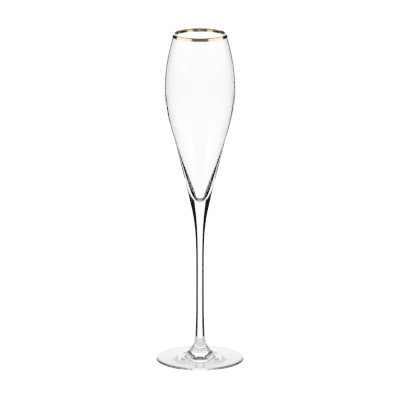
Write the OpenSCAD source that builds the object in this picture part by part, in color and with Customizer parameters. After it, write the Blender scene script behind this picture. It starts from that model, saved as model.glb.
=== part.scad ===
// Champagne flute: a blown bowl, a drawn stem and a pressed foot of clear glass,
// fused end to end, with a gold band fired over the lip.
// Z is the axis of revolution and the table is at z = 0.

/* [Bowl] */
// Height of the bowl, from its joint with the stem to the lip
bowl_h = 143; // [115:1:175]
// Outside diameter of the lip
rim_d = 43.2; // [34:0.2:52]
// Outside diameter of the bowl at its widest
belly_d = 57.2; // [47:0.2:69]
// Distance from the lip down to the widest place
belly_drop = 42; // [34:0.5:54]
// Thickness of the blown wall
wall = 1.4; // [1:0.05:1.8]
// How much the wall leans inwards at the lip, run over rise
rim_lean = 0.26; // [0.1:0.01:0.35]
// Thickness of the solid glass left under the cavity, down to the joint
floor_t = 7.5; // [4:0.2:14]
// Diameter of the cavity where its rounded tip begins
tip_d = 12.8; // [9:0.1:14]
// Height of the rounded tip of the cavity
tip_h = 9.6; // [7:0.2:12]

/* [Gold band] */
// Height of the band on the wall, below the rounding of the lip
band_h = 2.1; // [1.5:0.1:5]
// Thickness of the gold as modelled
gold_t = 0.08; // [0.05:0.01:0.2]

/* [Stem] */
// Length of the stem, between its two joints
stem_len = 110.5; // [85:0.5:140]
// Diameter of the joint between the stem and the bowl
joint_d = 13.4; // [10.4:0.2:16.4]
// How fast the glass widens at that joint, run over rise
joint_flare = 0.22; // [0.15:0.01:0.4]
// Diameter of the stem at its thinnest
waist_d = 6.4; // [5:0.1:8]
// Height of the thinnest place above the foot joint
waist_h = 38; // [28:1:48]
// Diameter of the joint between the stem and the foot
ankle_d = 9.8; // [8:0.2:13]
// How fast the stem widens as it meets the foot, run over rise
ankle_flare = 0.18; // [0.05:0.01:0.4]

/* [Foot] */
// Diameter of the foot
foot_d = 70.4; // [56:0.2:86]
// Height of the foot at its centre, up to the stem joint
foot_h = 13.5; // [11:0.1:17]
// Diameter of the cone under the stem, where it begins to hollow out
cone_d = 15.8; // [13:0.2:20]
// Height of that place above the table
cone_base_h = 9; // [7:0.1:10.5]
// Thickness of the foot at its rounded edge
edge_t = 1.8; // [1.4:0.1:3]
// Rise of the upper face from the edge towards the centre, rise over run
foot_slope = 0.084; // [0.04:0.004:0.12]
// Width of the ring that the foot rests on
rest_w = 2.6; // [1.5:0.1:4]
// Depth of the hollow under the foot
dish_h = 2.2; // [0.6:0.1:3]
// Rise of the hollow from the resting ring towards the centre, rise over run
dish_slope = 0.084; // [0.02:0.004:0.12]

/* [Hidden] */

// Radii
rim_r = rim_d / 2;
belly_r = belly_d / 2;
joint_r = joint_d / 2;
waist_r = waist_d / 2;
ankle_r = ankle_d / 2;
foot_r = foot_d / 2;
tip_r = tip_d / 2;
cone_r = cone_d / 2;

// Heights above the table
z_ankle = foot_h;
z_waist = z_ankle + waist_h;
z_joint = z_ankle + stem_len;
z_lip = z_joint + bowl_h;
z_belly = z_lip - belly_drop;
z_cavity = z_joint + floor_t;
z_tip = z_cavity + tip_h;

// Share of a curve's height, or of its width under the foot, that each of its two handles takes
rim_pull = 0.06;
shoulder_pull = 0.46;
belly_pull = 0.28;
taper_pull = 0.72;
joint_pull = 0.26;
drawn_pull = 0.5;
waist_pull = 0.65;
ankle_pull = 0.12;
cavity_belly_pull = 0.16;
cavity_taper_pull = 0.6;
tip_pull = 0.63;
hollow_pull = 0.25;
rest_pull = 0.4;

// Widening of the cavity above its tip, run over rise
tip_flare = 0.36;
// Roundness of the lowest point of the cavity, as a share of the tip's radius
tip_round = 0.48;
// Handles of the hollow curve of the foot: along the cone, and along the upper face
cone_handle = 4.3;
face_handle = 20;
// Step in angle along the rounded edges
arc_step = 15;
// Points along each curve
steps = 16;
$fn = 128;

// The lip is rounded about this point, square to the leaning wall
lean = atan(rim_lean);
across = [cos(lean), sin(lean)];
down = [sin(lean), -cos(lean)];
lip_c = [rim_r - wall / 2, z_lip - wall / 2];

// Outside and inside edge of the wall where the gold band stops
band_out = lip_c + across * wall / 2 + down * band_h;
band_in = lip_c - across * wall / 2 + down * band_h;

// A cubic curve through a and d, without its first point
function curve(a, b, c, d, n = steps) = [for (i = [1 : n]) let (t = i / n, s = 1 - t)
    s * s * s * a + 3 * s * s * t * b + 3 * s * t * t * c + t * t * t * d];

// Points of an arc about c, from angle a0 to a1
function arc(c, r, a0, a1) = let (n = ceil(abs(a1 - a0) / arc_step))
    [for (i = [0 : n]) let (a = a0 + (a1 - a0) * i / n) c + r * [cos(a), sin(a)]];

// Outside of the bowl from the joint up to the widest place and on to the band
bowl_rise = z_belly - z_joint;
shoulder_rise = band_out[1] - z_belly;
bowl_outer = concat(
    [[joint_r, z_joint]],
    curve([joint_r, z_joint], [joint_r, z_joint] + [joint_flare, 1] * taper_pull * bowl_rise,
        [belly_r, z_belly - belly_pull * bowl_rise], [belly_r, z_belly]),
    curve([belly_r, z_belly], [belly_r, z_belly + shoulder_pull * shoulder_rise],
        band_out + down * rim_pull * shoulder_rise, band_out));

// Inside of the bowl from the band down to the lowest point of the cavity
cavity_r = belly_r - wall;
cavity_drop = z_belly - z_tip;
tip_top = [tip_r, z_tip];
bowl_inner = concat(
    [band_in],
    curve(band_in, band_in + down * rim_pull * shoulder_rise,
        [cavity_r, z_belly + shoulder_pull * shoulder_rise], [cavity_r, z_belly]),
    curve([cavity_r, z_belly], [cavity_r, z_belly - cavity_belly_pull * cavity_drop],
        tip_top + [tip_flare, 1] * cavity_taper_pull * cavity_drop, tip_top),
    curve(tip_top, tip_top - [tip_flare, 1] * tip_pull * tip_h,
        [tip_r * tip_round, z_cavity], [0, z_cavity]));

// Stem from the foot joint up to the bowl joint
stem_outer = concat(
    [[ankle_r, z_ankle]],
    curve([ankle_r, z_ankle], [ankle_r, z_ankle] + [-ankle_flare, 1] * ankle_pull * waist_h,
        [waist_r, z_waist - waist_pull * waist_h], [waist_r, z_waist]),
    curve([waist_r, z_waist], [waist_r, z_waist + drawn_pull * (z_joint - z_waist)],
        [joint_r, z_joint] - [joint_flare, 1] * joint_pull * (z_joint - z_waist), [joint_r, z_joint]));

// Underside of the foot, its rounded edge, the hollow upper face and the cone
edge_r = edge_t / 2;
rest_r = foot_r - edge_r;
dish_r = rest_r - rest_w;
cone_top = [ankle_r, z_ankle];
cone_base = [cone_r, cone_base_h];
cone_way = (cone_base - cone_top) / norm(cone_base - cone_top);
face_edge = [rest_r, edge_t];
dish_edge = [dish_r, 0];
foot_outer = concat(
    [[0, dish_h]],
    curve([0, dish_h], [hollow_pull * dish_r, dish_h],
        dish_edge + [-1, dish_slope] * rest_pull * dish_r, dish_edge),
    arc([rest_r, edge_r], edge_r, -90, 90),
    curve(face_edge, face_edge + [-1, foot_slope] * face_handle,
        cone_base + cone_way * cone_handle, cone_base, steps * 2),
    [cone_top]);

module turned(outline) {
    rotate_extrude() polygon(outline);
}

// Gold over the lip: a thin skin on the last of the outside, the rounding and the inside
module gold_rim() {
    color("goldenrod") turned(concat(
        [band_out],
        arc(lip_c, wall / 2, lean, 180 + lean),
        [band_in, band_in - across * gold_t],
        arc(lip_c, wall / 2 + gold_t, 180 + lean, lean),
        [band_out + across * gold_t]));
}

// Bowl: thin blown wall, thickening into the solid glass over the stem
module bowl() {
    color("lightcyan", 0.5) turned(concat(
        [[0, z_joint]],
        bowl_outer,
        arc(lip_c, wall / 2, lean, 180 + lean),
        bowl_inner));
}

// Stem: drawn out of solid glass, thinnest near the foot
module stem() {
    color("powderblue", 0.6) turned(concat([[0, z_ankle]], stem_outer, [[0, z_joint]]));
}

// Foot: disc hollowed underneath, rising to a cone that carries the stem
module foot() {
    color("lightsteelblue", 0.6) turned(concat(foot_outer, [[0, z_ankle]]));
}

gold_rim();
bowl();
stem();
foot();
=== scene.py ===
import math
import bpy
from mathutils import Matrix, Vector


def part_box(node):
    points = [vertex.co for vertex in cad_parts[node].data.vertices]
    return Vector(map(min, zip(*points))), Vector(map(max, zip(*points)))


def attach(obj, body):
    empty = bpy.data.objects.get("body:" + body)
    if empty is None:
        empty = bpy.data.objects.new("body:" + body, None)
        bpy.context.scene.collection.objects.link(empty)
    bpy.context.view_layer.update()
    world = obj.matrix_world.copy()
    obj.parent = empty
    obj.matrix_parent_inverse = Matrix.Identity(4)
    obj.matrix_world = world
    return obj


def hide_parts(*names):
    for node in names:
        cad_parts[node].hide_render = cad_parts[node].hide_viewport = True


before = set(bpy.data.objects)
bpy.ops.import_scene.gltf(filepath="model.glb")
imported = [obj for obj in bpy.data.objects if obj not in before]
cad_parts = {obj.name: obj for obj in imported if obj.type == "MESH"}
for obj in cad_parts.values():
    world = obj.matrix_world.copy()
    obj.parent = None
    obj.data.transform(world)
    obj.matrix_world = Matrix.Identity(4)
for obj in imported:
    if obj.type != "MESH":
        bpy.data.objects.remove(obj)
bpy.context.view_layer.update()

# A champagne flute: a blown bowl, a drawn stem and a pressed foot of clear crystal glass, fused
# end to end, with a band of bright gold brushed and fired over the lip. Z is its axis.
MM = 0.001

# ---------------------------------------------------------------- sizes from the frame, in metres

bowl_low, bowl_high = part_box("bowl")
stem_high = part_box("stem")[1]
foot_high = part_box("foot")[1]
gold_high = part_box("gold_rim")[1]

Z_ANKLE = foot_high.z
Z_JOINT = bowl_low.z
Z_LIP = bowl_high.z
BELLY_R = bowl_high.x
FOOT_R = foot_high.x
JOINT_R = stem_high.x
GOLD_T = gold_high.z - Z_LIP

# Bowl: the lip, the wall and the cavity
RIM_R = 21.6 * MM
RIM_LEAN = 0.26
WALL = 1.4 * MM
Z_BELLY = Z_LIP - 42 * MM
BAND_H = 2.1 * MM
Z_CAVITY = Z_JOINT + 7.5 * MM
TIP_R = 6.4 * MM
TIP_H = 9.6 * MM
TIP_FLARE = 0.36
TIP_ROUND = 0.48
# Share of a curve's height that each of its two handles takes
TAPER_PULL = 0.72
BELLY_PULL = 0.28
SHOULDER_PULL = 0.46
RIM_PULL = 0.06
CAVITY_BELLY_PULL = 0.16
CAVITY_TAPER_PULL = 0.6
TIP_PULL = 0.63
JOINT_FLARE = 0.22

# Stem
WAIST_R = 3.2 * MM
Z_WAIST = Z_ANKLE + 38.0 * MM
ANKLE_R = 4.9 * MM
ANKLE_FLARE = 0.18
ANKLE_PULL = 0.12
WAIST_PULL = 0.65
DRAWN_PULL = 0.5
JOINT_PULL = 0.26

# Foot
CONE_R = 7.9 * MM
CONE_BASE_H = 9.0 * MM
CONE_HANDLE = 4.3 * MM
EDGE_T = 1.8 * MM
FOOT_SLOPE = 0.084
FACE_HANDLE = 20.0 * MM
REST_W = 2.6 * MM
DISH_H = 2.2 * MM
DISH_SLOPE = 0.084
HOLLOW_PULL = 0.25
REST_PULL = 0.4

# How finely the outlines are drawn and turned
TURN_STEPS = 224
LONG_STEPS = 44
SHORT_STEPS = 22
ROUND_STEPS = 10
CONE_STEPS = 4
SHORTEST_EDGE = 1e-9
WELD = 0.0005 * MM
CREASE = 40
FLAT_NORMAL = 0.999
SAME_HEIGHT = 0.001 * MM

# ---------------------------------------------------------------- outlines


def curve(a, b, c, d, steps):
    """Points of the cubic curve from a to d with handles b and c, without a itself."""
    points = []
    for i in range(1, steps + 1):
        t = i / steps
        s = 1 - t
        points.append(s * s * s * a + 3 * s * s * t * b + 3 * s * t * t * c + t * t * t * d)
    return points


def arc(centre, radius, start, end, steps):
    """Points of an arc about centre, from angle start to angle end, both in degrees."""
    points = []
    for i in range(steps + 1):
        a = math.radians(start + (end - start) * i / steps)
        points.append(centre + radius * Vector((math.cos(a), math.sin(a))))
    return points


lean = math.degrees(math.atan(RIM_LEAN))
across = Vector((math.cos(math.radians(lean)), math.sin(math.radians(lean))))
down = Vector((across.y, -across.x))
lip_c = Vector((RIM_R - WALL / 2, Z_LIP - WALL / 2))
band_out = lip_c + across * WALL / 2 + down * BAND_H
band_in = lip_c - across * WALL / 2 + down * BAND_H


def bowl_outline():
    """From the axis under the joint, up the outside, over the lip and down into the cavity."""
    joint = Vector((JOINT_R, Z_JOINT))
    rise = Z_BELLY - Z_JOINT
    shoulder = band_out.y - Z_BELLY
    outside = [Vector((0, Z_JOINT)), joint]
    outside += curve(joint, joint + Vector((JOINT_FLARE, 1)) * TAPER_PULL * rise,
                     Vector((BELLY_R, Z_BELLY - BELLY_PULL * rise)), Vector((BELLY_R, Z_BELLY)), LONG_STEPS)
    outside += curve(Vector((BELLY_R, Z_BELLY)), Vector((BELLY_R, Z_BELLY + SHOULDER_PULL * shoulder)),
                     band_out + down * RIM_PULL * shoulder, band_out, SHORT_STEPS)
    lip = arc(lip_c, WALL / 2, lean, 180 + lean, ROUND_STEPS)
    hollow_r = BELLY_R - WALL
    z_tip = Z_CAVITY + TIP_H
    drop = Z_BELLY - z_tip
    tip = Vector((TIP_R, z_tip))
    inside = [band_in]
    widest = Vector((hollow_r, Z_BELLY))
    inside += curve(band_in, band_in + down * RIM_PULL * shoulder,
                    Vector((hollow_r, Z_BELLY + SHOULDER_PULL * shoulder)), widest, SHORT_STEPS)
    inside += curve(widest, Vector((hollow_r, Z_BELLY - CAVITY_BELLY_PULL * drop)),
                    tip + Vector((TIP_FLARE, 1)) * CAVITY_TAPER_PULL * drop, tip, LONG_STEPS)
    inside += curve(tip, tip - Vector((TIP_FLARE, 1)) * TIP_PULL * TIP_H,
                    Vector((TIP_R * TIP_ROUND, Z_CAVITY)), Vector((0, Z_CAVITY)), SHORT_STEPS)
    return outside + lip + inside


def stem_outline():
    """From the axis on the foot, up the outside to the bowl and back to the axis."""
    ankle = Vector((ANKLE_R, Z_ANKLE))
    waist = Vector((WAIST_R, Z_WAIST))
    joint = Vector((JOINT_R, Z_JOINT))
    low, high = Z_WAIST - Z_ANKLE, Z_JOINT - Z_WAIST
    points = [Vector((0, Z_ANKLE)), ankle]
    points += curve(ankle, ankle + Vector((-ANKLE_FLARE, 1)) * ANKLE_PULL * low,
                    waist - Vector((0, WAIST_PULL * low)), waist, SHORT_STEPS)
    points += curve(waist, waist + Vector((0, DRAWN_PULL * high)),
                    joint - Vector((JOINT_FLARE, 1)) * JOINT_PULL * high, joint, LONG_STEPS)
    return points + [Vector((0, Z_JOINT))]


def foot_outline():
    """From the axis in the hollow underneath, round the edge and over the cone to the axis."""
    edge_r = EDGE_T / 2
    rest_r = FOOT_R - edge_r
    dish_r = rest_r - REST_W
    top = Vector((0, DISH_H))
    cone_top = Vector((ANKLE_R, Z_ANKLE))
    cone_base = Vector((CONE_R, CONE_BASE_H))
    way = (cone_base - cone_top).normalized()
    edge = Vector((rest_r, EDGE_T))
    points = [top]
    dish_edge = Vector((dish_r, 0))
    points += curve(top, Vector((HOLLOW_PULL * dish_r, DISH_H)),
                    dish_edge + Vector((-1, DISH_SLOPE)) * REST_PULL * dish_r, dish_edge, LONG_STEPS)
    points += arc(Vector((rest_r, edge_r)), edge_r, -90, 90, 2 * ROUND_STEPS)
    points += curve(edge, edge + Vector((-1, FOOT_SLOPE)) * FACE_HANDLE,
                    cone_base + way * CONE_HANDLE, cone_base, LONG_STEPS)
    points += [cone_base + (cone_top - cone_base) * i / CONE_STEPS for i in range(1, CONE_STEPS + 1)]
    return points + [Vector((0, Z_ANKLE))]


def gold_outline():
    """The band's skin: over the outside of the lip, with its own thickness, and back inside it."""
    clear = 0.004 * MM
    inner = [band_out + across * clear]
    inner += arc(lip_c, WALL / 2 + clear, lean, 180 + lean, 2 * ROUND_STEPS)
    inner += [band_in - across * clear]
    outer = [band_in - across * GOLD_T]
    outer += arc(lip_c, WALL / 2 + GOLD_T, 180 + lean, lean, 2 * ROUND_STEPS)
    outer += [band_out + across * GOLD_T]
    return inner + outer


# ---------------------------------------------------------------- making the pieces


def deselect_all():
    for o in bpy.context.selected_objects:
        o.select_set(False)


def turned(name, outline, closed=False):
    """A point is drawn out along the outline, edge by edge, and the line is spun about the axis."""
    deselect_all()
    bpy.ops.mesh.primitive_plane_add(size=MM)
    piece = bpy.context.object
    piece.name = name
    piece.data.name = name
    bpy.ops.object.mode_set(mode="EDIT")
    bpy.ops.mesh.select_all(action="SELECT")
    bpy.ops.mesh.merge(type="CENTER")
    bpy.ops.transform.translate(value=(outline[0].x, 0, outline[0].y))
    for a, b in zip(outline, outline[1:]):
        step = b - a
        if step.length > SHORTEST_EDGE:
            bpy.ops.mesh.extrude_region_move(TRANSFORM_OT_translate={"value": (step.x, 0, step.y)})
    if closed:
        bpy.ops.mesh.select_all(action="DESELECT")
        bpy.ops.object.mode_set(mode="OBJECT")
        piece.data.vertices[0].select = True
        piece.data.vertices[-1].select = True
        bpy.ops.object.mode_set(mode="EDIT")
        bpy.ops.mesh.edge_face_add()
    bpy.ops.mesh.select_all(action="SELECT")
    bpy.ops.mesh.spin(steps=TURN_STEPS, angle=2 * math.pi, center=(0, 0, 0), axis=(0, 0, 1))
    bpy.ops.mesh.select_all(action="SELECT")
    bpy.ops.mesh.remove_doubles(threshold=WELD)
    bpy.ops.mesh.normals_make_consistent(inside=False)
    bpy.ops.object.mode_set(mode="OBJECT")
    bpy.ops.object.shade_smooth_by_angle(angle=math.radians(CREASE))
    piece.location = (0, 0, 0)
    return piece


# ---------------------------------------------------------------- materials


def linear(hex_colour):
    """Turns an sRGB hex colour to the linear values that shaders take."""
    parts = [int(hex_colour[i:i + 2], 16) / 255 for i in (0, 2, 4)]
    return (*[v / 12.92 if v <= 0.04045 else ((v + 0.055) / 1.055) ** 2.4 for v in parts], 1.0)


def new_material(name):
    material = bpy.data.materials.new(name)
    material.use_nodes = True
    material.node_tree.nodes.clear()
    return material


def add(material, kind, links=None, **settings):
    """Adds a node. settings name its inputs or its own properties, and links name what feeds an input."""
    tree = material.node_tree
    node = tree.nodes.new(kind)
    for key, value in settings.items():
        if key in node.inputs:
            node.inputs[key].default_value = value
        else:
            setattr(node, key, value)
    for key, source in (links or {}).items():
        tree.links.new(source, node.inputs[key])
    return node


def crystal_glass(name, tint, wave_mm, wave_height_mm):
    """Clear lead-free crystal. Blowing and drawing leave slow waves in it that bend the light a little."""
    m = new_material(name)
    place = add(m, "ShaderNodeTexCoord").outputs["Object"]
    waves = add(m, "ShaderNodeTexNoise", {"Vector": place}, Scale=1 / (wave_mm * MM), Detail=1.0)
    bump = add(m, "ShaderNodeBump", {"Height": waves.outputs["Fac"]}, Strength=1.0,
               Distance=wave_height_mm * MM)
    glass = add(m, "ShaderNodeBsdfPrincipled", {"Normal": bump.outputs["Normal"]})
    glass.inputs["Base Color"].default_value = linear(tint)
    glass.inputs["Roughness"].default_value = 0.0
    glass.inputs["IOR"].default_value = 1.52
    glass.inputs["Transmission Weight"].default_value = 1.0
    add(m, "ShaderNodeOutputMaterial", {"Surface": glass.outputs["BSDF"]})
    return m


def fused_joint():
    """Where two pieces of glass are fused, light runs straight through and nothing shows."""
    m = new_material("fused_glass_joint")
    clear = add(m, "ShaderNodeBsdfTransparent")
    add(m, "ShaderNodeOutputMaterial", {"Surface": clear.outputs["BSDF"]})
    return m


# A brush stroke in the gold, and how many times longer it is than it is high
STROKE = 4 * MM
STROKE_LENGTHS = 12


def fired_gold():
    """Bright gold, brushed on and fired: a mirror of metal with fine strokes round the lip."""
    m = new_material("fired_bright_gold")
    place = add(m, "ShaderNodeTexCoord").outputs["Object"]
    strokes = add(m, "ShaderNodeMapping", {"Vector": place}, Scale=(1, 1, STROKE_LENGTHS))
    noise = add(m, "ShaderNodeTexNoise", {"Vector": strokes.outputs["Vector"]},
                Scale=1 / STROKE, Detail=3.0)
    rough = add(m, "ShaderNodeMapRange", {"Value": noise.outputs["Fac"]})
    rough.inputs["To Min"].default_value = 0.08
    rough.inputs["To Max"].default_value = 0.24
    gold = add(m, "ShaderNodeBsdfPrincipled", {"Roughness": rough.outputs["Result"]})
    gold.inputs["Base Color"].default_value = linear("f9e0b0")
    gold.inputs["Metallic"].default_value = 1.0
    add(m, "ShaderNodeOutputMaterial", {"Surface": gold.outputs["BSDF"]})
    return m


def join_faces(piece, heights, material):
    """Gives the flat faces at these heights, where glass is fused to glass, their own material."""
    piece.data.materials.append(material)
    for face in piece.data.polygons:
        flat = abs(face.normal.z) > FLAT_NORMAL
        if flat and any(abs(face.center.z - z) < SAME_HEIGHT for z in heights):
            face.material_index = 1


joint_glass = fused_joint()

bowl = turned("glass_bowl", bowl_outline())
bowl.data.materials.append(crystal_glass("blown_crystal_bowl", "fbfdfc", 22, 0.004))
join_faces(bowl, [Z_JOINT], joint_glass)
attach(bowl, "root")
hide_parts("bowl")

stem = turned("glass_stem", stem_outline())
stem.data.materials.append(crystal_glass("drawn_crystal_stem", "fbfdfc", 14, 0.003))
join_faces(stem, [Z_ANKLE, Z_JOINT], joint_glass)
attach(stem, "root")
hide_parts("stem")

foot = turned("glass_foot", foot_outline())
foot.data.materials.append(crystal_glass("pressed_crystal_foot", "f6f8fb", 12, 0.004))
join_faces(foot, [Z_ANKLE], joint_glass)
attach(foot, "root")
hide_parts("foot")

band = turned("gold_lip_band", gold_outline(), closed=True)
band.data.materials.append(fired_gold())
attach(band, "root")
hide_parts("gold_rim")

# ---------------------------------------------------------------- camera

CAMERA_BACK = 3.1627
CAMERA_UP = 0.8954
CAMERA_TILT = 13.576
LENS_MM = 367.55

deselect_all()
bpy.ops.object.camera_add(location=(0, -CAMERA_BACK, CAMERA_UP),
                          rotation=(math.radians(90 - CAMERA_TILT), 0, 0))
camera = bpy.context.object
camera.data.lens = LENS_MM
camera.data.clip_end = 100
bpy.context.scene.camera = camera
bpy.context.view_layer.update()

# ---------------------------------------------------------------- studio

# How bright each screen is, and the cold tint of the dark flags
WHITE = 2.9
ROOM = 0.015
ROOM_TINT = (0.97, 0.98, 1, 1)
WING = 0.2
FLAG = 0.016
NAVY = "96a6ff"
DIFFUSER = 2.5
FRONT = 0.22
CEILING = 0.2
TABLE = 1.3
FILM_WHITE = 3.24
SHOULDER = 2.4
FILM_STEPS = 10

# How often light may pass through the glass, and how often it may be mirrored
GLASS_BOUNCES = 24
GLOSSY_BOUNCES = 12

# Radii and heights in metres
SCREEN_R = 7.0
TABLE_R = 0.044
FLOOR_R = 60.0
Z_FLOOR = -0.0002
Z_TABLE = -0.0001
SCREEN_STEPS = 24
DISC_STEPS = 96

# Angles round the flute where the screens meet, in degrees: BACK_HALF is counted from straight
# behind it, and the others from the camera's side
BACK_HALF = 22
FLAG_EDGE = 108
WING_EDGE = 125
LOW_EDGE = 66
DIFFUSER_EDGE = 37

# Elevations between which the screens are seen from the flute, in degrees
TALL = (-45, 45)
FLAG_SPAN = (-45, 8)
WING_SPAN = (8, 45)
DIFFUSER_SPAN = (4, 24)
LOW_DIFFUSER_SPAN = (-56, -32)


def glow(name, strength, colour="ffffff"):
    """The lit or unlit cloth of a screen, even all over."""
    m = new_material(name)
    light = add(m, "ShaderNodeEmission", Strength=strength, Color=linear(colour))
    add(m, "ShaderNodeOutputMaterial", {"Surface": light.outputs["Emission"]})
    return m


def at(elevation):
    """Height on the screens that is seen at this elevation from the flute, in metres."""
    return SCREEN_R * math.tan(math.radians(elevation))


def screen(name, edges, span, material):
    """A tall curved screen round the flute, from one angle to another. Angle 0 is the camera's side,
    and the screen turns with the camera, so that every view has the same light."""
    start, end = sorted(edges)
    low, high = (at(elevation) for elevation in span)
    deselect_all()
    bpy.ops.mesh.primitive_plane_add(size=1)
    piece = bpy.context.object
    piece.name = name
    bpy.ops.object.mode_set(mode="EDIT")
    bpy.ops.mesh.select_all(action="SELECT")
    bpy.ops.mesh.merge(type="CENTER")
    a = math.radians(start)
    bpy.ops.transform.translate(value=(SCREEN_R * math.sin(a), -SCREEN_R * math.cos(a), low))
    bpy.ops.mesh.extrude_region_move(TRANSFORM_OT_translate={"value": (0, 0, high - low)})
    bpy.ops.mesh.select_all(action="SELECT")
    bpy.ops.mesh.spin(steps=SCREEN_STEPS, angle=-math.radians(end - start),
                      center=(0, 0, 0), axis=(0, 0, 1))
    bpy.ops.object.mode_set(mode="OBJECT")
    piece.data.materials.append(material)
    piece.visible_camera = False
    piece.parent = camera
    piece.matrix_parent_inverse = camera.matrix_world.inverted()


def disc(name, radius, height, material):
    """A flat round surface of the studio, about the flute's axis."""
    deselect_all()
    bpy.ops.mesh.primitive_circle_add(vertices=DISC_STEPS, radius=radius, fill_type="NGON",
                                      location=(0, 0, height))
    piece = bpy.context.object
    piece.name = name
    piece.data.materials.append(material)
    return piece


back_edge = 180 - BACK_HALF
screen("backdrop", (back_edge, 180 + BACK_HALF), TALL, glow("backdrop_white", WHITE))
for side in (-1, 1):
    mark = "LR"[side > 0]
    back = (side * back_edge, side * WING_EDGE)
    screen("flag" + mark, back, FLAG_SPAN, glow("flag_black" + mark, FLAG, NAVY))
    screen("wing" + mark, back, WING_SPAN, glow("wing_white" + mark, WING))
    screen("side_flag" + mark, (side * WING_EDGE, side * FLAG_EDGE), TALL,
           glow("side_flag_black" + mark, FLAG, NAVY))
    screen("diffuser" + mark, (side * FLAG_EDGE, side * DIFFUSER_EDGE), DIFFUSER_SPAN,
           glow("diffuser_white" + mark, DIFFUSER))
    screen("low_diffuser" + mark, (side * LOW_EDGE, side * DIFFUSER_EDGE), LOW_DIFFUSER_SPAN,
           glow("low_diffuser_white" + mark, DIFFUSER))
screen("room", (-DIFFUSER_EDGE, DIFFUSER_EDGE), TALL, glow("room_grey", FRONT))

ceiling = disc("ceiling", SCREEN_R, at(TALL[1]), glow("ceiling_white", CEILING))
ceiling.visible_camera = False

# The floor that shows is white all over. Only the part that the flute stands on lights the glass.
floor = disc("floor", FLOOR_R, Z_FLOOR, glow("white_floor", FILM_WHITE))
floor.visible_glossy = False
floor.visible_transmission = False
light_table = disc("light_table", TABLE_R, Z_TABLE, glow("light_table_white", TABLE))
light_table.visible_camera = False

# The world is white where the camera looks past the flute, and a dark room to the glass
world = bpy.data.worlds.new("studio")
bpy.context.scene.world = world
world.use_nodes = True
world.node_tree.nodes.clear()
seen = add(world, "ShaderNodeLightPath").outputs["Is Camera Ray"]
white = add(world, "ShaderNodeBackground", Color=(1, 1, 1, 1), Strength=FILM_WHITE)
dark = add(world, "ShaderNodeBackground", Color=ROOM_TINT, Strength=ROOM)
mix = add(world, "ShaderNodeMixShader",
          {"Fac": seen, 1: dark.outputs["Background"], 2: white.outputs["Background"]})
add(world, "ShaderNodeOutputWorld", {"Surface": mix.outputs["Shader"]})

scene = bpy.context.scene
scene.view_settings.view_transform = "Standard"

# The film's response: even up to the mid tones, with a soft shoulder under pure white
scene.view_settings.use_curve_mapping = True
film = scene.view_settings.curve_mapping
film.white_level = (FILM_WHITE, FILM_WHITE, FILM_WHITE)
for i in range(1, FILM_STEPS):
    level = i / FILM_STEPS
    point = film.curves[3].points.new(level, 1 - (1 - level) ** SHOULDER)
    point.handle_type = "AUTO_CLAMPED"
film.update()
scene.cycles.filter_width = 1.4
scene.cycles.max_bounces = GLASS_BOUNCES
scene.cycles.transmission_bounces = GLASS_BOUNCES
scene.cycles.glossy_bounces = GLOSSY_BOUNCES
scene.cycles.transparent_max_bounces = GLASS_BOUNCES
